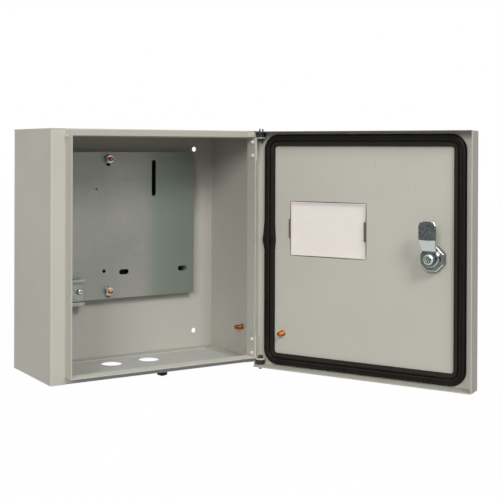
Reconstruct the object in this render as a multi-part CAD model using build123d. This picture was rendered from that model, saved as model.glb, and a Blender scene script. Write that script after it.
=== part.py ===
from build123d import *
import math
import os

# Distribution box for wall mounting, shown with its door hung open.
# Millimetres. X runs to the right as seen from the front, Y into the wall, Z up.
# The origin is the middle of the four wall holes on the outer face of the back.

# Cabinet body
cabinet_width = 300.0
cabinet_height = 310.0
body_depth = 125.0
sheet = 1.2
bend_radius = 0.6
side_flange = 18.5
cap_strip = 9.0
collar_depth = 19.0
top_collar_rise = 1.5
return_flange = 19.3
return_notch = 1.0
wall_hole_diameter = 7.0
wall_hole_inset_x = 30.0
wall_hole_inset_z = 25.0

# Cable entries in the bottom panel
cable_hole_diameter = 28.0
cable_hole_left_x = -31.0
cable_hole_right_x = 24.5
cable_hole_y = -45.5

# Mounting plate
plate_thickness = 1.5
plate_front_y = -16.0
plate_side_gap = 37.6
plate_bottom_gap = 81.2
plate_top_gap = 27.8
meter_from_right = 64.2
meter_slot_width = 6.5
meter_slot_length = 50.0
meter_slot_from_top = 11.0
meter_foot_spread = 91.4
meter_foot_rise = 35.2
meter_foot_slot_length = 14.5
meter_foot_slot_width = 7.0
pilot_hole_from_left = 71.2
pilot_hole_from_top = 49.8
pilot_hole_diameter = 2.5
spare_hole_from_left = 82.7
spare_hole_rise = 37.7
spare_hole_diameter = 5.0

# Studs that carry the mounting plate
stud_from_left = 88.6
stud_from_top = 9.6
stud_rise = 10.5
stud_diameter = 6.0
stud_reach = 28.8
stud_slot_width = 7.0
stud_slot_length = 16.0
stud_slot_drop = 1.5
nut_flats = 10.0
nut_thickness = 5.0
washer_diameter = 12.0
washer_thickness = 1.6

# Mounting rail
rail_height = 35.0
rail_depth = 7.5
rail_sheet = 1.0
rail_web = 27.0
rail_rise = 12.1
rail_from_left = 0.2
rail_length = 51.0
rail_slot_length = 12.0
rail_slot_width = 4.5
rail_slot_inset = 19.0
rail_slot_spacing = 25.0
rail_screw_inset = 16.0
rail_screw_spacing = 31.0
rail_screw_diameter = 4.0
rail_screw_head = 8.3
rail_screw_head_height = 2.8
rail_screw_length = 8.0

# Earth studs
earth_diameter = 6.0
earth_length = 12.0
earth_foot_diameter = 7.6
earth_foot_height = 0.8
wall_earth_from_front = 39.2
wall_earth_rise = 39.4
door_earth_a = 30.0
door_earth_rise = 44.2

# Main earthing stud under the bottom panel
main_earth_x = 13.0
main_earth_from_front = 20.0
main_earth_diameter = 8.0
main_earth_length = 8.3
main_nut_flats = 13.0
main_nut_thickness = 4.5
main_washer_diameter = 16.0
main_washer_thickness = 1.6

# Door. Distance a runs from the hinge axis to the free edge, b into the cabinet.
open_angle = 117.5
hinge_inset = 9.0
hinge_to_front = 7.5
door_depth = 23.5
lip_gap = 1.5
door_margin = 1.0
door_drop = 1.2
hinge_wall_height = 11.0
wall_end_chamfer = 6.0

# Gasket
gasket_clearance = 0.3
gasket_roll_width = 8.2
gasket_roll_shoulder = 2.5
gasket_groove_width = 1.4
gasket_groove_depth = 1.8
gasket_lip_width = 5.6
gasket_lip_drop = 0.9
gasket_lip_shoulder = 1.2
gasket_inset_hinge = 11.0
gasket_inset_free = 13.2
gasket_inset_top = 3.8
gasket_inset_bottom = 2.2
gasket_corner = 20.0
gasket_inner_corner = 8.0
splice_z = 11.0
splice_length = 42.0
splice_bulge = 3.6

# Meter window
window_width = 106.4
window_height = 70.7
window_z = 26.95
pane_thickness = 1.6
pane_wall = 1.5
pane_proud = 3.6
pane_flange = 4.5
pane_fit = 0.2
clip_drop = 13.0
clip_length = 25.0
clip_height = 1.3
clip_grip = 2.0

# Hinges
pin_diameter = 5.0
pin_clearance = 0.05
pin_flange_diameter = 7.0
pin_flange_height = 1.2
pin_stub_diameter = 4.8
pin_stub_height = 3.6
prong_length = 3.5
prong_barb = 0.6
prong_slot = 2.1
prong_slot_depth = 8.0
upper_prong_turn = 59.0
lower_prong_turn = 112.0
running_gap = 0.3
spacer_height = 6.1
bracket_thickness = 1.6
bracket_bend = 2.0
bracket_gap = 1.0
bracket_drop = 40.2
ear_back = 3.0
rivet_diameter = 4.0
rivet_tail_diameter = 5.0
rivet_tail_height = 3.2
rivet_setback = 5.0
rivet_inner_rise = 6.9
rivet_outer_rise = 24.7

# Lock and latch
lock_inset = 53.5
lock_bore = 14.1
lock_core_fit = 0.05
lock_sleeve = 20.0
lock_sleeve_length = 17.0
sleeve_notch_width = 6.0
sleeve_notch_depth = 4.6
lock_flange = 28.0
lock_flange_thickness = 3.0
lock_nut_flats = 30.0
lock_nut_thickness = 11.0
lock_nut_bevel = 1.0
key_slot_width = 1.8
key_slot_height = 8.0
key_slot_depth = 9.0
core_shoulder = 2.5
cam_sheet = 2.5
cam_clearance = 0.4
cam_hub_radius = 8.3
cam_overlap = 10.0
cam_width = 20.7
cam_joggle_start = 11.2
cam_joggle_end = 24.4
cam_tip_chamfer_across = 2.0
cam_tip_chamfer_along = 3.8
cam_tip_bevel = 0.8
cam_square = 8.0
cam_screw_diameter = 6.0
cam_screw_head = 12.0
cam_screw_head_height = 3.2
cam_screw_length = 8.0

# Places that follow from the sizes above
half_width = cabinet_width / 2
half_height = cabinet_height / 2
wrap_half = half_height - sheet
collar_x = half_width - side_flange
collar_z = half_height - cap_strip
front_y = -body_depth
collar_y = front_y - collar_depth
wall_hole_x = half_width - wall_hole_inset_x
wall_hole_z = half_height - wall_hole_inset_z
hinge_x = half_width - hinge_inset
hinge_y = front_y - lip_gap - door_depth + hinge_to_front

plate_right = half_width - sheet - plate_side_gap
plate_left = -plate_right
plate_top = wrap_half - plate_top_gap
plate_bottom = plate_bottom_gap - wrap_half
meter_x = plate_right - meter_from_right
meter_foot_z = plate_bottom + meter_foot_rise
stud_x = plate_left + stud_from_left
rail_left = plate_left + rail_from_left
rail_z = plate_bottom + rail_rise
wall_earth_y = front_y + wall_earth_from_front
wall_earth_z = wall_earth_rise - wrap_half
main_earth_y = front_y + main_earth_from_front

door_a_start = hinge_x - half_width + door_margin
door_a_end = hinge_x + half_width - door_margin
door_top = half_height - door_drop
door_bottom = -half_height - door_drop
door_out = -hinge_to_front
door_in = door_out + sheet
door_lip = door_out + door_depth
door_hinge_lip = door_out + hinge_wall_height
door_earth_z = door_bottom + door_earth_rise

stud_mounts = ((stud_x, plate_top - stud_from_top), (stud_x, plate_bottom + stud_rise))
rail_screws_at = (rail_left + rail_screw_inset, rail_left + rail_screw_inset + rail_screw_spacing)
rail_slots_at = (rail_left + rail_slot_inset, rail_left + rail_slot_inset + rail_slot_spacing)
cable_holes_at = (cable_hole_left_x, cable_hole_right_x)
meter_feet_at = (meter_x - meter_foot_spread / 2, meter_x + meter_foot_spread / 2)

gasket_left = door_a_start + gasket_inset_hinge
gasket_right = door_a_end - gasket_inset_free
gasket_top = door_top - gasket_inset_top
gasket_bottom = door_bottom + gasket_inset_bottom
gasket_face = collar_y - hinge_y - gasket_clearance
gasket_width = gasket_roll_width + gasket_groove_width + gasket_lip_width

window_a = hinge_x - meter_x
clip_bottom = window_z - clip_drop
ear_radius = hinge_to_front - sheet - running_gap
spacer_radius = ear_radius
upper_ear_z = door_top - sheet - running_gap - spacer_height
lower_ear_z = door_bottom + sheet + running_gap + spacer_height
bracket_reach = half_height - bracket_drop
rivet_heights = (bracket_reach + rivet_inner_rise, bracket_reach + rivet_outer_rise)

lock_a = door_a_end - lock_inset
lock_z = (door_top + door_bottom) / 2
sleeve_end = door_out + lock_sleeve_length
cam_hub_in = sleeve_end + core_shoulder
cam_tongue_in = front_y + sheet + cam_clearance - hinge_y
cam_reach = hinge_x - lock_a + collar_x + cam_overlap


def block(x0, x1, y0, y1, z0, z1):
    """Rectangular block between two corners."""
    size = Box(x1 - x0, y1 - y0, z1 - z0)
    return Pos((x0 + x1) / 2, (y0 + y1) / 2, (z0 + z1) / 2) * size


def post(start, direction, radius, length):
    """Round bar from a point along a direction."""
    bar = Cylinder(radius, length, align=(Align.CENTER, Align.CENTER, Align.MIN))
    return Plane(origin=start, z_dir=direction) * bar


def upright(outline, z0, z1):
    """Solid from an outline drawn in plan, between two heights."""
    return extrude(Pos(0, 0, z0) * outline, amount=z1 - z0)


def lengthwise(outline, x0, x1):
    """Solid from a side outline drawn in Y and Z, between two X places."""
    return extrude(Pos(x0, 0, 0) * (Plane.YZ * outline), amount=x1 - x0)


def facing(outline, y0, y1):
    """Solid from an outline drawn as seen from the front, between two depths."""
    return extrude(Pos(0, y1, 0) * (Plane.XZ * outline), amount=y1 - y0)


def rounded(x0, x1, z0, z1, radius):
    """Rounded rectangle between two corners, as seen from the front."""
    return Pos((x0 + x1) / 2, (z0 + z1) / 2) * RectangleRounded(x1 - x0, z1 - z0, radius)


def folded_section(skin, thickness, inside_radius):
    """Section of a folded sheet whose skin points have the metal on their left."""
    count = len(skin)
    headings = []
    for i in range(count - 1):
        run = math.dist(skin[i], skin[i + 1])
        run_x = skin[i + 1][0] - skin[i][0]
        run_y = skin[i + 1][1] - skin[i][1]
        headings.append((run_x / run, run_y / run))
    far_side = []
    skin_radii = []
    far_radii = []
    for i in range(count):
        before = headings[max(i - 1, 0)]
        after = headings[min(i, count - 2)]
        share = 1 + before[0] * after[0] + before[1] * after[1]
        shift_x = -(before[1] + after[1]) / share * thickness
        shift_y = (before[0] + after[0]) / share * thickness
        far_side.append((skin[i][0] + shift_x, skin[i][1] + shift_y))
        if 0 < i < count - 1:
            turns_left = before[0] * after[1] - before[1] * after[0] > 0
            skin_radii.append(inside_radius + thickness * turns_left)
            far_radii.append(inside_radius + thickness * (not turns_left))
    near_line = FilletPolyline(*skin, radius=skin_radii)
    far_line = FilletPolyline(*far_side, radius=far_radii)
    start_line = Line(skin[0], far_side[0])
    end_line = Line(skin[-1], far_side[-1])
    return make_face(near_line + far_line + start_line + end_line)


def hang(piece):
    """Turns a piece drawn on the closed door to where the open door stands."""
    return Pos(hinge_x, hinge_y, 0) * Rot(0, 0, open_angle) * piece


def hexagon_nut(start, direction, flats, thickness, bore):
    """Hexagon nut with its corners turned off on both faces."""
    hexagon = extrude(RegularPolygon(flats / 2, 6, major_radius=False), amount=thickness)
    turned = Cylinder(flats * 0.575, thickness, align=(Align.CENTER, Align.CENTER, Align.MIN))
    turned = chamfer(turned.edges().filter_by(GeomType.CIRCLE), flats * 0.06)
    nut = hexagon & turned
    nut -= Cylinder(bore / 2, thickness * 3)
    return Plane(origin=start, z_dir=direction) * nut


def flat_washer(start, direction, diameter, thickness, bore):
    """Plain washer."""
    ring = Cylinder(diameter / 2, thickness, align=(Align.CENTER, Align.CENTER, Align.MIN))
    ring = ring - Cylinder(bore / 2, thickness * 3)
    return Plane(origin=start, z_dir=direction) * ring


def pan_screw(seat, direction, diameter, length, head, head_height):
    """Pan-head cross-recess screw whose head stands on the seat along the direction."""
    low = (Align.CENTER, Align.CENTER, Align.MIN)
    top = Cylinder(head / 2, head_height, align=low)
    top = fillet(top.edges().filter_by(GeomType.CIRCLE).sort_by(Axis.Z)[-1], head_height * 0.6)
    cross = Box(head * 0.5, head * 0.13, head_height) + Box(head * 0.13, head * 0.5, head_height)
    top -= Pos(0, 0, head_height) * cross
    shank = Cylinder(diameter / 2, length, align=(Align.CENTER, Align.CENTER, Align.MAX))
    return Plane(origin=seat, z_dir=direction) * (top + shank)


def weld_stud(start, direction, diameter, length, foot):
    """Threaded weld stud with its low foot and a chamfered tip."""
    low = (Align.CENTER, Align.CENTER, Align.MIN)
    bar = Cylinder(diameter / 2, length, align=low)
    bar = chamfer(bar.edges().filter_by(GeomType.CIRCLE).sort_by(Axis.Z)[-1], diameter * 0.12)
    return Plane(origin=start, z_dir=direction) * (bar + Cylinder(foot / 2, earth_foot_height, align=low))


def build_body_wrap():
    """Back and sides folded from one sheet, with front flanges and return flanges."""
    side = [(half_width, front_y), (half_width, 0), (-half_width, 0), (-half_width, front_y)]
    with_collar = [(collar_x, collar_y), (collar_x, front_y)] + side
    with_collar += [(-collar_x, front_y), (-collar_x, collar_y)]
    plain = [(collar_x, front_y)] + side + [(-collar_x, front_y)]
    collar_half = collar_z - sheet
    wrap = upright(folded_section(with_collar, sheet, bend_radius), -collar_half, collar_half)
    short = folded_section(plain, sheet, bend_radius)
    wrap += upright(short, collar_half, wrap_half)
    wrap += upright(short, -wrap_half, -collar_half)
    slope = [(front_y, collar_half), (collar_y, collar_half), (collar_y, collar_half + top_collar_rise)]
    for x in (-collar_x, collar_x - sheet):
        wrap += lengthwise(make_face(Polyline(*slope, close=True)), x, x + sheet)
    edge = sheet * 0.5
    inner_x = half_width - return_flange
    for low in (wrap_half - sheet, -wrap_half):
        back = [(-half_width + return_notch + sheet, -edge), (half_width - return_notch - sheet, -edge)]
        back += [(inner_x, -return_flange), (-inner_x, -return_flange)]
        wrap += upright(make_face(Polyline(*back, close=True)), low, low + sheet)
        for way in (1, -1):
            notch = return_notch * 2
            flange = [(way * (half_width - edge), -return_notch - edge * 4)]
            flange += [(way * (half_width - edge), front_y + notch + sheet)]
            flange += [(way * inner_x, front_y + notch + sheet + bend_radius)]
            flange += [(way * inner_x, -return_flange - notch)]
            wrap += upright(make_face(Polyline(*flange, close=True)), low, low + sheet)
    for x in (-wall_hole_x, wall_hole_x):
        for z in (-wall_hole_z, wall_hole_z):
            wrap -= post((x, -sheet * 2, z), (0, 1, 0), wall_hole_diameter / 2, sheet * 4)
    return drill_rivet_holes(wrap)


def drill_rivet_holes(wrap):
    """Holes for the hinge bracket rivets in the right side of the collar."""
    for way in (1, -1):
        for z in rivet_heights:
            start = (collar_x - sheet * 2, collar_y + rivet_setback, way * z)
            wrap -= post(start, (1, 0, 0), rivet_diameter / 2, sheet * 4)
    return wrap


def build_end_panel(way):
    """Top or bottom panel with its front strip and its part of the collar."""
    rim_z = collar_z + top_collar_rise if way > 0 else collar_z
    skin = [(0, half_height), (front_y, half_height), (front_y, collar_z), (collar_y, rim_z)]
    section = folded_section(skin, sheet, bend_radius)
    panel = lengthwise(section, -collar_x, collar_x)
    for side in (1, -1):
        near = min(side * collar_x, side * half_width)
        far = max(side * collar_x, side * half_width)
        panel += block(near, far, front_y, 0, wrap_half, half_height)
    if way < 0:
        panel = mirror(panel, about=Plane.XY)
        for x in cable_holes_at:
            start = (x, cable_hole_y, -half_height - sheet)
            panel -= post(start, (0, 0, 1), cable_hole_diameter / 2, sheet * 3)
    return panel


def build_mounting_plate():
    """Flat plate with slots for a meter, a rail and the two studs."""
    outline = Pos((plate_left + plate_right) / 2, (plate_bottom + plate_top) / 2)
    outline *= Rectangle(plate_right - plate_left, plate_top - plate_bottom)
    plate = facing(outline, plate_front_y, plate_front_y + plate_thickness)
    slot_z = plate_top - meter_slot_from_top - meter_slot_length / 2
    holes = [Pos(meter_x, slot_z) * SlotOverall(meter_slot_length, meter_slot_width, rotation=90)]
    for x in meter_feet_at:
        holes.append(Pos(x, meter_foot_z) * SlotOverall(meter_foot_slot_length, meter_foot_slot_width))
    for x, z in stud_mounts:
        slot_place = Pos(x, z - stud_slot_drop)
        holes.append(slot_place * SlotOverall(stud_slot_length, stud_slot_width, rotation=90))
    for x in rail_screws_at:
        holes.append(Pos(x, rail_z) * Circle(rail_screw_diameter / 2))
    pilot_place = Pos(plate_left + pilot_hole_from_left, plate_top - pilot_hole_from_top)
    holes.append(pilot_place * Circle(pilot_hole_diameter / 2))
    spare_place = Pos(plate_left + spare_hole_from_left, plate_bottom + spare_hole_rise)
    holes.append(spare_place * Circle(spare_hole_diameter / 2))
    for hole in holes:
        plate -= facing(hole, plate_front_y - 1, plate_front_y + plate_thickness + 1)
    return plate


def build_plate_studs():
    """Two weld studs on the inner face of the back."""
    studs = []
    reach = stud_reach - sheet
    for x, z in stud_mounts:
        studs.append(weld_stud((x, -sheet, z), (0, -1, 0), stud_diameter, reach, earth_foot_diameter))
    return studs


def build_plate_rear_nuts():
    """Nuts behind the mounting plate."""
    back = plate_front_y + plate_thickness + nut_thickness
    nuts = []
    for x, z in stud_mounts:
        nuts.append(hexagon_nut((x, back, z), (0, -1, 0), nut_flats, nut_thickness, stud_diameter))
    return nuts


def build_plate_washers():
    """Washers in front of the mounting plate."""
    rings = []
    for x, z in stud_mounts:
        start = (x, plate_front_y, z)
        rings.append(flat_washer(start, (0, -1, 0), washer_diameter, washer_thickness, stud_diameter))
    return rings


def build_plate_nuts():
    """Nuts on the washers in front of the mounting plate."""
    seat = plate_front_y - washer_thickness
    nuts = []
    for x, z in stud_mounts:
        nuts.append(hexagon_nut((x, seat, z), (0, -1, 0), nut_flats, nut_thickness, stud_diameter))
    return nuts


def build_din_rail():
    """Short hat-section rail with two slots, flat on the mounting plate."""
    rise = plate_front_y - rail_depth + rail_sheet
    half_web = rail_web / 2
    half_rail = rail_height / 2
    skin = [(rise, rail_z + half_rail), (rise, rail_z + half_web), (plate_front_y, rail_z + half_web)]
    skin += [(plate_front_y, rail_z - half_web), (rise, rail_z - half_web), (rise, rail_z - half_rail)]
    section = folded_section(skin[::-1], rail_sheet, bend_radius)
    rail = lengthwise(section, rail_left, rail_left + rail_length)
    for x in rail_slots_at:
        slot = Pos(x, rail_z) * SlotOverall(rail_slot_length, rail_slot_width)
        rail -= facing(slot, plate_front_y - rail_sheet - 0.5, plate_front_y + 0.5)
    return rail


def build_rail_screws():
    """Two pan-head screws that hold the rail."""
    seat = plate_front_y - rail_sheet
    screws = []
    head = (rail_screw_head, rail_screw_head_height)
    for x in rail_screws_at:
        start = (x, seat, rail_z)
        screws.append(pan_screw(start, (0, -1, 0), rail_screw_diameter, rail_screw_length, *head))
    return screws


def build_earth_stud_wall():
    """Earthing stud on the inner face of the right side."""
    start = (half_width - sheet, wall_earth_y, wall_earth_z)
    return weld_stud(start, (-1, 0, 0), earth_diameter, earth_length, earth_foot_diameter)


def build_earth_stud_door():
    """Earthing stud on the inner face of the door."""
    start = (-door_earth_a, door_in, door_earth_z)
    return hang(weld_stud(start, (0, 1, 0), earth_diameter, earth_length, earth_foot_diameter))


def build_outer_earth_stud():
    """Main earthing stud under the bottom panel."""
    start = (main_earth_x, main_earth_y, -half_height)
    foot = main_earth_diameter + 2 * sheet
    return weld_stud(start, (0, 0, -1), main_earth_diameter, main_earth_length, foot)


def build_outer_earth_washer():
    """Washer on the main earthing stud."""
    start = (main_earth_x, main_earth_y, -half_height - earth_foot_height)
    return flat_washer(start, (0, 0, -1), main_washer_diameter, main_washer_thickness, main_earth_diameter)


def build_outer_earth_nut():
    """Nut on the main earthing stud."""
    start = (main_earth_x, main_earth_y, -half_height - earth_foot_height - main_washer_thickness)
    return hexagon_nut(start, (0, 0, -1), main_nut_flats, main_nut_thickness, main_earth_diameter)


def build_hinge_bracket(way):
    """Folded bracket on the collar whose ear carries a hinge pin."""
    ear_z = upper_ear_z if way > 0 else -lower_ear_z
    outer_x = collar_x + bracket_thickness
    back_y = front_y - bracket_gap
    neck_back = hinge_y + ear_back
    leaf_top = ear_z - bracket_thickness - bracket_bend
    leaf = block(collar_x, outer_x, collar_y, back_y, bracket_reach, leaf_top)
    skin = [(hinge_x, ear_z), (collar_x, ear_z), (collar_x, bracket_reach)]
    fold = folded_section(skin, bracket_thickness, bracket_bend)
    arm = Pos(0, neck_back, 0) * extrude(Plane.XZ * fold, amount=neck_back - collar_y)
    eye = post((hinge_x, hinge_y, ear_z - bracket_thickness), (0, 0, 1), ear_radius, bracket_thickness)
    bracket = leaf + arm + eye
    bracket -= post((hinge_x, hinge_y, 0), (0, 0, 1), pin_diameter / 2 + pin_clearance, ear_z * 2)
    for z in rivet_heights:
        start = (collar_x - 1, collar_y + rivet_setback, z)
        bracket -= post(start, (1, 0, 0), rivet_diameter / 2, bracket_thickness + 2)
    return bracket if way > 0 else mirror(bracket, about=Plane.XY)


def build_bracket_rivets():
    """Flush rivets with round tails on the inner face of the collar."""
    rivets = []
    tail_x = collar_x - sheet
    for way in (1, -1):
        for z in rivet_heights:
            y = collar_y + rivet_setback
            shank = post((tail_x, y, way * z), (1, 0, 0), rivet_diameter / 2, sheet + bracket_thickness)
            tail = post((tail_x, y, way * z), (-1, 0, 0), rivet_tail_diameter / 2, rivet_tail_height)
            rim = tail.edges().filter_by(GeomType.CIRCLE).sort_by(Axis.X)[0]
            rivets.append(fillet(rim, rivet_tail_height * 0.6) + shank)
    return rivets


def build_hinge_spacer(way):
    """Bush between a bracket ear and the door's end wall."""
    start = upper_ear_z if way > 0 else lower_ear_z
    bush = Cylinder(spacer_radius, spacer_height, align=(Align.CENTER, Align.CENTER, Align.MIN))
    bush = chamfer(bush.edges().filter_by(GeomType.CIRCLE), 0.15)
    bush -= Cylinder(pin_diameter / 2 + pin_clearance, spacer_height * 3)
    return Plane(origin=(hinge_x, hinge_y, start), z_dir=(0, 0, way)) * bush


def build_hinge_pin(head_seat, leaf_top, prong_turn):
    """Snap-in pin from below with a flange, a short stub and a split, barbed top."""
    low = (Align.CENTER, Align.CENTER, Align.MIN)
    high = (Align.CENTER, Align.CENTER, Align.MAX)
    radius = pin_diameter / 2
    tip = leaf_top - head_seat + running_gap
    outline = [(0, 0), (radius, 0), (radius, tip), (radius + prong_barb, tip)]
    outline += [(radius + prong_barb, tip + prong_length * 0.25), (radius, tip + prong_length)]
    outline += [(0, tip + prong_length)]
    pin = revolve(Plane.XZ * make_face(Polyline(*outline, close=True)), Axis.Z)
    stub = Cylinder(pin_stub_diameter / 2, pin_flange_height + pin_stub_height, align=high)
    stub = fillet(stub.edges().filter_by(GeomType.CIRCLE).sort_by(Axis.Z)[0], pin_stub_diameter * 0.25)
    pin += stub + Cylinder(pin_flange_diameter / 2, pin_flange_height, align=high)
    slot = Pos(0, 0, tip + prong_length) * Box(pin_diameter * 3, prong_slot, prong_slot_depth * 2)
    pin -= Rot(0, 0, prong_turn) * slot
    return Pos(hinge_x, hinge_y, head_seat) * pin


def folded_edges(shell):
    """Edges round the outer face of a pan and up its two free-side corners."""
    around_face = shell.edges().group_by(Axis.Y)[0]
    free_corners = shell.edges().filter_by(Axis.Y).group_by(Axis.X)[0]
    return around_face + free_corners


def build_door_panel():
    """Pan-shaped door with openings for the window, the lock and the hinge pins."""
    left = -door_a_end
    right = -door_a_start
    shell = block(left, right, door_out, door_lip, door_bottom, door_top)
    shell = fillet(folded_edges(shell), bend_radius + sheet)
    hollow = block(left + sheet, right - sheet, door_in, door_lip + 1, door_bottom + sheet, door_top - sheet)
    hollow = fillet(folded_edges(hollow), bend_radius)
    panel = shell - hollow
    cut_x = right - sheet - 0.5
    panel -= block(cut_x, right + 1, door_hinge_lip, door_lip + 1, door_bottom - 1, door_top + 1)
    slope = [(right + 1, door_hinge_lip), (right - sheet, door_hinge_lip)]
    slope += [(right - wall_end_chamfer, door_lip), (right - wall_end_chamfer, door_lip + 1)]
    slope += [(right + 1, door_lip + 1)]
    panel -= upright(make_face(Polyline(*slope, close=True)), door_bottom - 1, door_top + 1)
    panel -= post((0, 0, door_bottom - 1), (0, 0, 1), pin_diameter / 2 + pin_clearance, sheet + 2)
    panel -= post((0, 0, door_top - sheet - 1), (0, 0, 1), pin_diameter / 2 + pin_clearance, sheet + 2)
    opening = Pos(-window_a, window_z) * Rectangle(window_width, window_height)
    panel -= facing(opening, door_out - 1, door_in + 1)
    panel -= post((-lock_a, door_out - 1, lock_z), (0, 1, 0), lock_sleeve / 2, sheet + 2)
    return hang(panel)


def gasket_loop(inset):
    """Outline of the gasket, moved inwards from its outer edge."""
    share = inset / gasket_width
    radius = gasket_corner + (gasket_inner_corner - gasket_corner) * share
    left = inset - gasket_right
    right = -gasket_left - inset
    return rounded(left, right, gasket_bottom + inset, gasket_top - inset, radius)


def splice_outline():
    """Outline of the swelling where the two ends of the gasket meet."""
    outer = -gasket_left
    low = (outer, splice_z - splice_length / 2)
    high = (outer, splice_z + splice_length / 2)
    far = (outer + splice_bulge, splice_z)
    back_low = (outer - gasket_roll_width / 2, low[1])
    back_high = (outer - gasket_roll_width / 2, high[1])
    swell = Spline(low, far, high, tangents=[(0.35, 1), (-0.35, 1)])
    return make_face(swell + Polyline(high, back_high, back_low, low))


def build_door_gasket():
    """Soft sealing strip with an outer roll, a groove, a lower lip and a splice."""
    roll_edge = gasket_roll_width
    lip_edge = gasket_roll_width + gasket_groove_width
    roll = facing(gasket_loop(0) + splice_outline() - gasket_loop(roll_edge), door_in, gasket_face)
    roll = fillet(roll.edges().group_by(Axis.Y)[-1], gasket_roll_shoulder)
    bed = facing(gasket_loop(roll_edge) - gasket_loop(lip_edge), door_in, gasket_face - gasket_groove_depth)
    lip = facing(gasket_loop(lip_edge) - gasket_loop(gasket_width), door_in, gasket_face - gasket_lip_drop)
    lip = fillet(lip.edges().group_by(Axis.Y)[-1], gasket_lip_shoulder)
    return hang(roll + bed + lip)


def build_window_pane():
    """Clear tray that stands proud outside and snaps into the door opening."""
    half_x = window_width / 2 - pane_fit
    half_z = window_height / 2 - pane_fit
    face = door_out - pane_proud
    rim_end = door_in + running_gap
    tray = facing(Rectangle(half_x * 2, half_z * 2), face, rim_end)
    tray = fillet(tray.edges().group_by(Axis.Y)[0], bend_radius)
    hollow_x = half_x * 2 - pane_wall * 2
    hollow_z = half_z * 2 - pane_wall * 2
    tray -= facing(Rectangle(hollow_x, hollow_z), face + pane_thickness, rim_end + 1)
    border = Rectangle(half_x * 2 + pane_flange * 2, half_z * 2 + pane_flange * 2)
    border -= Rectangle(half_x * 2 - pane_wall, half_z * 2 - pane_wall)
    border_face = facing(border, door_out - pane_wall, door_out)
    return hang(Pos(-window_a, 0, window_z) * (tray + border_face))


def build_window_clips():
    """Two snap catches at the upright edges of the opening."""
    clip_top = clip_bottom + clip_length
    left_edge = window_a - window_width / 2 + pane_fit
    right_edge = window_a + window_width / 2 - pane_fit
    left = block(-left_edge, clip_grip - left_edge, door_in, door_in + clip_height, clip_bottom, clip_top)
    seat = door_in + running_gap
    over = pane_wall + running_gap * 4
    right = block(-right_edge, over - right_edge, seat, door_in + clip_height, clip_bottom, clip_top)
    return [hang(left), hang(right)]


def build_lock_housing():
    """Lock body with its round outer flange and threaded sleeve."""
    sleeve = post((-lock_a, door_out, lock_z), (0, 1, 0), lock_sleeve / 2, lock_sleeve_length)
    face = post((-lock_a, door_out, lock_z), (0, -1, 0), lock_flange / 2, lock_flange_thickness)
    face = fillet(face.edges().filter_by(GeomType.CIRCLE).sort_by(Axis.Y)[0], lock_flange_thickness * 0.5)
    housing = sleeve + face
    start = (-lock_a, door_out - lock_flange_thickness - 1, lock_z)
    housing -= post(start, (0, 1, 0), lock_bore / 2, lock_sleeve_length * 2)
    notch = Box(lock_sleeve, sleeve_notch_depth * 2, sleeve_notch_width)
    return hang(housing - Pos(-lock_a - lock_sleeve / 2, sleeve_end, lock_z) * notch)


def build_lock_nut():
    """Eight-sided nut that clamps the lock in the door."""
    outline = RegularPolygon(lock_nut_flats / 2, 8, major_radius=False, rotation=22.5)
    nut = extrude(outline, amount=lock_nut_thickness)
    nut = chamfer(nut.edges().group_by(Axis.Z)[-1], lock_nut_bevel)
    nut -= Cylinder(lock_sleeve / 2, lock_nut_thickness * 3)
    return hang(Plane(origin=(-lock_a, door_in, lock_z), z_dir=(0, 1, 0)) * nut)


def build_lock_barrel():
    """Turning core with a key slot in front and a square end behind."""
    front = door_out - lock_flange_thickness
    radius = lock_bore / 2 - lock_core_fit
    core = post((-lock_a, front, lock_z), (0, 1, 0), radius, cam_hub_in - front)
    core += Pos(-lock_a, cam_hub_in + cam_sheet / 2, lock_z) * Box(cam_square, cam_sheet, cam_square)
    seat = (-lock_a, cam_hub_in + cam_sheet, lock_z)
    core -= post(seat, (0, -1, 0), cam_screw_diameter / 2, cam_screw_length)
    slot = Box(key_slot_width, key_slot_depth * 2, key_slot_height)
    return hang(core - Pos(-lock_a, front, lock_z) * slot)


def build_lock_cam():
    """Joggled latch blade that points up with the lock open."""
    rise = cam_tongue_in - cam_hub_in
    skin = [(cam_hub_in, -cam_hub_radius), (cam_hub_in, cam_joggle_start)]
    skin += [(cam_hub_in + rise, cam_joggle_end), (cam_hub_in + rise, cam_reach)]
    section = folded_section(skin[::-1], cam_sheet, bend_radius * 2)
    half = cam_width / 2
    blade = lengthwise(section, -half, half)
    narrow = cam_hub_radius
    tip = cam_reach - cam_tip_chamfer_along
    neck = cam_joggle_start
    plan = [(-narrow, 0), (-narrow, neck), (-half, cam_joggle_end), (-half, tip)]
    plan += [(cam_tip_chamfer_across - half, cam_reach), (half - cam_tip_chamfer_across, cam_reach)]
    plan += [(half, tip), (half, cam_joggle_end), (narrow, neck), (narrow, 0)]
    outline = make_face(Polyline(*plan, close=True)) + Circle(cam_hub_radius)
    blade = blade & facing(outline, cam_hub_in - 5, cam_tongue_in + cam_sheet + 5)
    tip_edges = blade.edges().group_by(Axis.Y)[-1].filter_by(lambda edge: edge.center().Z > tip)
    blade = chamfer(tip_edges, cam_tip_bevel)
    square = Box(cam_square, cam_sheet * 3, cam_square)
    blade -= Pos(0, cam_hub_in, 0) * square
    return hang(Pos(-lock_a, 0, lock_z) * blade)


def build_cam_screw():
    """Screw that holds the latch blade on the core."""
    seat = (-lock_a, cam_hub_in + cam_sheet, lock_z)
    head = (cam_screw_head, cam_screw_head_height)
    return hang(pan_screw(seat, (0, 1, 0), cam_screw_diameter, cam_screw_length, *head))


def write(name, shape):
    """Writes one node, a single solid or a group of separate solids."""
    pieces = shape if isinstance(shape, list) else [shape]
    solids = [solid for piece in pieces for solid in piece.solids()]
    export_step(solids[0] if len(solids) == 1 else Compound(children=solids), "parts/" + name + ".step")


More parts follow.
